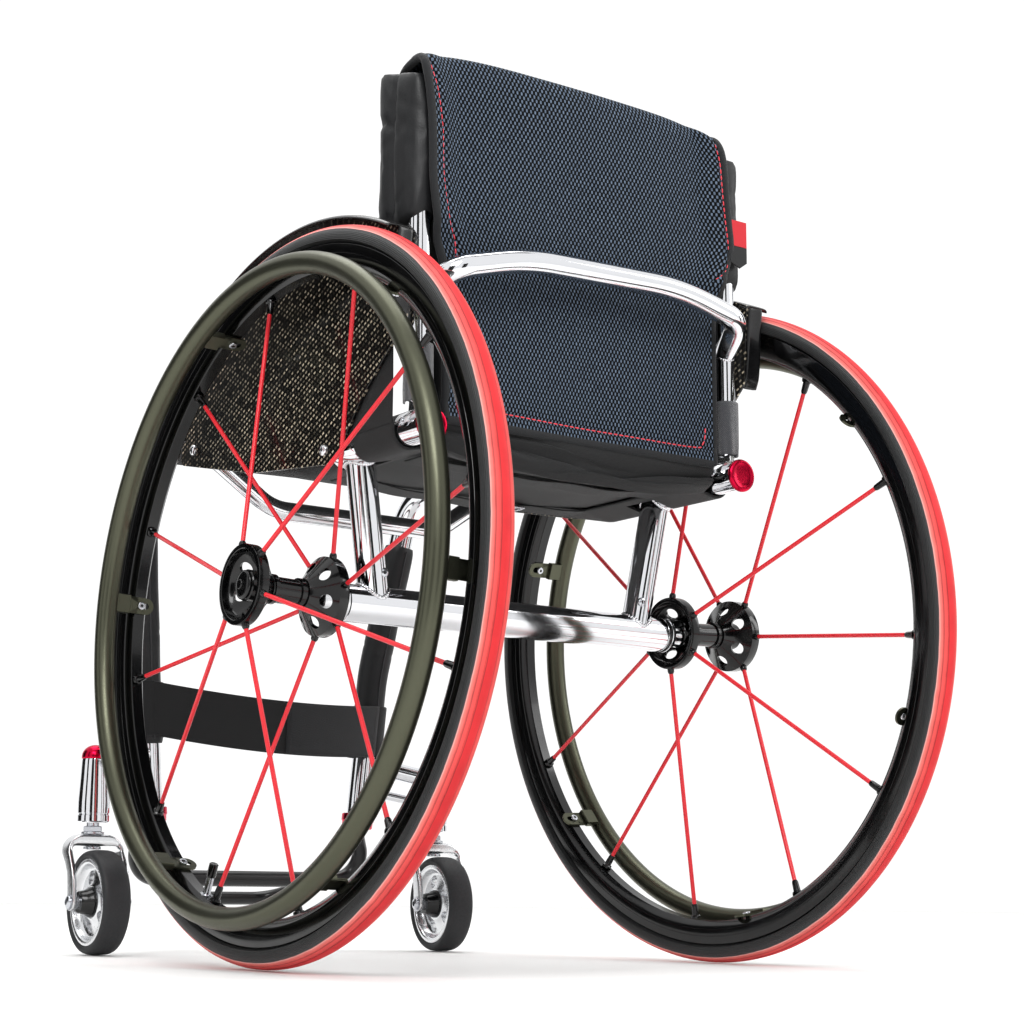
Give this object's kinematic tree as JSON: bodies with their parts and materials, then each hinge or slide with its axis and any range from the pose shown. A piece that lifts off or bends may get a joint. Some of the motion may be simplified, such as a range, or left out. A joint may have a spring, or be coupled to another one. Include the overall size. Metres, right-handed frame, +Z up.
{
  "type": "rigid wheelchair",
  "caption": "Rigid-frame active wheelchair with cambered spoked wheels, handrims, castors, hoop footrest, sling seat and a fold-down upholstered backrest.",
  "frame": {"origin": "centre of the whole chair's footprint box, on the floor", "axes": "+Z up, +Y the way the user faces, +X to the user's right"},
  "size_m": [0.5541, 0.8145, 0.748],
  "materials": {
    "tyre_red": "matt red tread over dark grey sidewalls",
    "gloss_black": "gloss black",
    "titanium_satin": "satin grey-brown",
    "spoke_black_red": "gloss black hub with red spokes",
    "polished": "mirror polished",
    "steel": "bright",
    "red_anodised": "crimson anodised",
    "black_metal": "satin black",
    "castor_rubber": "matt black",
    "nylon": "woven black",
    "vinyl": "soft black",
    "mesh_fabric": "blue-grey spacer mesh",
    "carbon": "clear-coated carbon twill"
  },
  "bodies": {
    "frame": {"axle_tube": "polished", "seat_cross_tube": "polished", "footrest_hoop": "black_metal", "footrest_front_bar": "black_metal", "seat_sling": "nylon", "calf_strap": "nylon", "left_side_tube": "polished", "right_side_tube": "polished", "left_rail_cap": "red_anodised", "right_rail_cap": "red_anodised", "left_strut": "polished", "right_strut": "polished", "left_camber_insert": "polished", "right_camber_insert": "polished", "left_footrest_clamp": "red_anodised", "right_footrest_clamp": "red_anodised", "left_castor_housing": "polished", "right_castor_housing": "polished", "left_housing_cap": "red_anodised", "right_housing_cap": "red_anodised", "left_side_guard": "carbon", "right_side_guard": "carbon", "left_front_tube_wrap": "vinyl", "right_front_tube_wrap": "vinyl", "left_hinge_bracket": "polished", "right_hinge_bracket": "polished", "left_hinge_pin": "steel", "right_hinge_pin": "steel", "left_axle_pin": "steel", "right_axle_pin": "steel"},
    "backrest": {"push_bar": "polished", "back_upholstery": "vinyl", "back_cover": "mesh_fabric", "left_cane": "polished", "right_cane": "polished", "left_cane_sleeve": "nylon", "right_cane_sleeve": "nylon"},
    "left_wheel": {"left_tyre": "tyre_red", "left_rim": "gloss_black", "left_hub_and_spokes": "spoke_black_red", "left_handrim": "titanium_satin"},
    "left_castor_swivel": {"left_castor_fork": "polished", "left_castor_stem": "steel", "left_castor_bolt": "steel"},
    "left_castor_wheel": {"left_castor_tyre": "castor_rubber", "left_castor_rim": "polished"},
    "left_release": {"left_release_button": "steel"},
    "right_wheel": {"right_tyre": "tyre_red", "right_rim": "gloss_black", "right_hub_and_spokes": "spoke_black_red", "right_handrim": "titanium_satin"},
    "right_castor_swivel": {"right_castor_fork": "polished", "right_castor_stem": "steel", "right_castor_bolt": "steel"},
    "right_castor_wheel": {"right_castor_tyre": "castor_rubber", "right_castor_rim": "polished"},
    "right_release": {"right_release_button": "steel"}
  },
  "joints": [
    {"name": "backrest_fold", "type": "hinge", "parent": "frame", "child": "backrest", "pos_m": [0, -0.2074, 0.4525], "axis": [-1, 0, 0], "range_deg": [0, 72]},
    {"name": "left_wheel_spin", "type": "hinge", "parent": "frame", "child": "left_wheel", "pos_m": [-0.2253, -0.1074, 0.29975], "axis": [-0.9991, 0, 0.0419], "continuous": true},
    {"name": "left_castor_turn", "type": "hinge", "parent": "frame", "child": "left_castor_swivel", "pos_m": [-0.1985, 0.2926, 0.1], "axis": [0, 0, 1], "continuous": true},
    {"name": "left_castor_spin", "type": "hinge", "parent": "left_castor_swivel", "child": "left_castor_wheel", "pos_m": [-0.19937, 0.27262, 0.049], "axis": [0.999, -0.0436, 0], "continuous": true},
    {"name": "left_release_press", "type": "slide", "parent": "frame", "child": "left_release", "axis": [0.9991, 0, -0.0419], "range_m": [0, 0.004], "stiffness_N_per_m": 400},
    {"name": "right_wheel_spin", "type": "hinge", "parent": "frame", "child": "right_wheel", "pos_m": [0.2253, -0.1074, 0.29975], "axis": [0.9991, 0, 0.0419], "continuous": true},
    {"name": "right_castor_turn", "type": "hinge", "parent": "frame", "child": "right_castor_swivel", "pos_m": [0.1985, 0.2926, 0.1], "axis": [0, 0, 1], "continuous": true},
    {"name": "right_castor_spin", "type": "hinge", "parent": "right_castor_swivel", "child": "right_castor_wheel", "pos_m": [0.19606, 0.27275, 0.049], "axis": [0.9925, -0.1219, 0], "continuous": true},
    {"name": "right_release_press", "type": "slide", "parent": "frame", "child": "right_release", "axis": [-0.9991, 0, -0.0419], "range_m": [0, 0.004], "stiffness_N_per_m": 400}
  ]
}
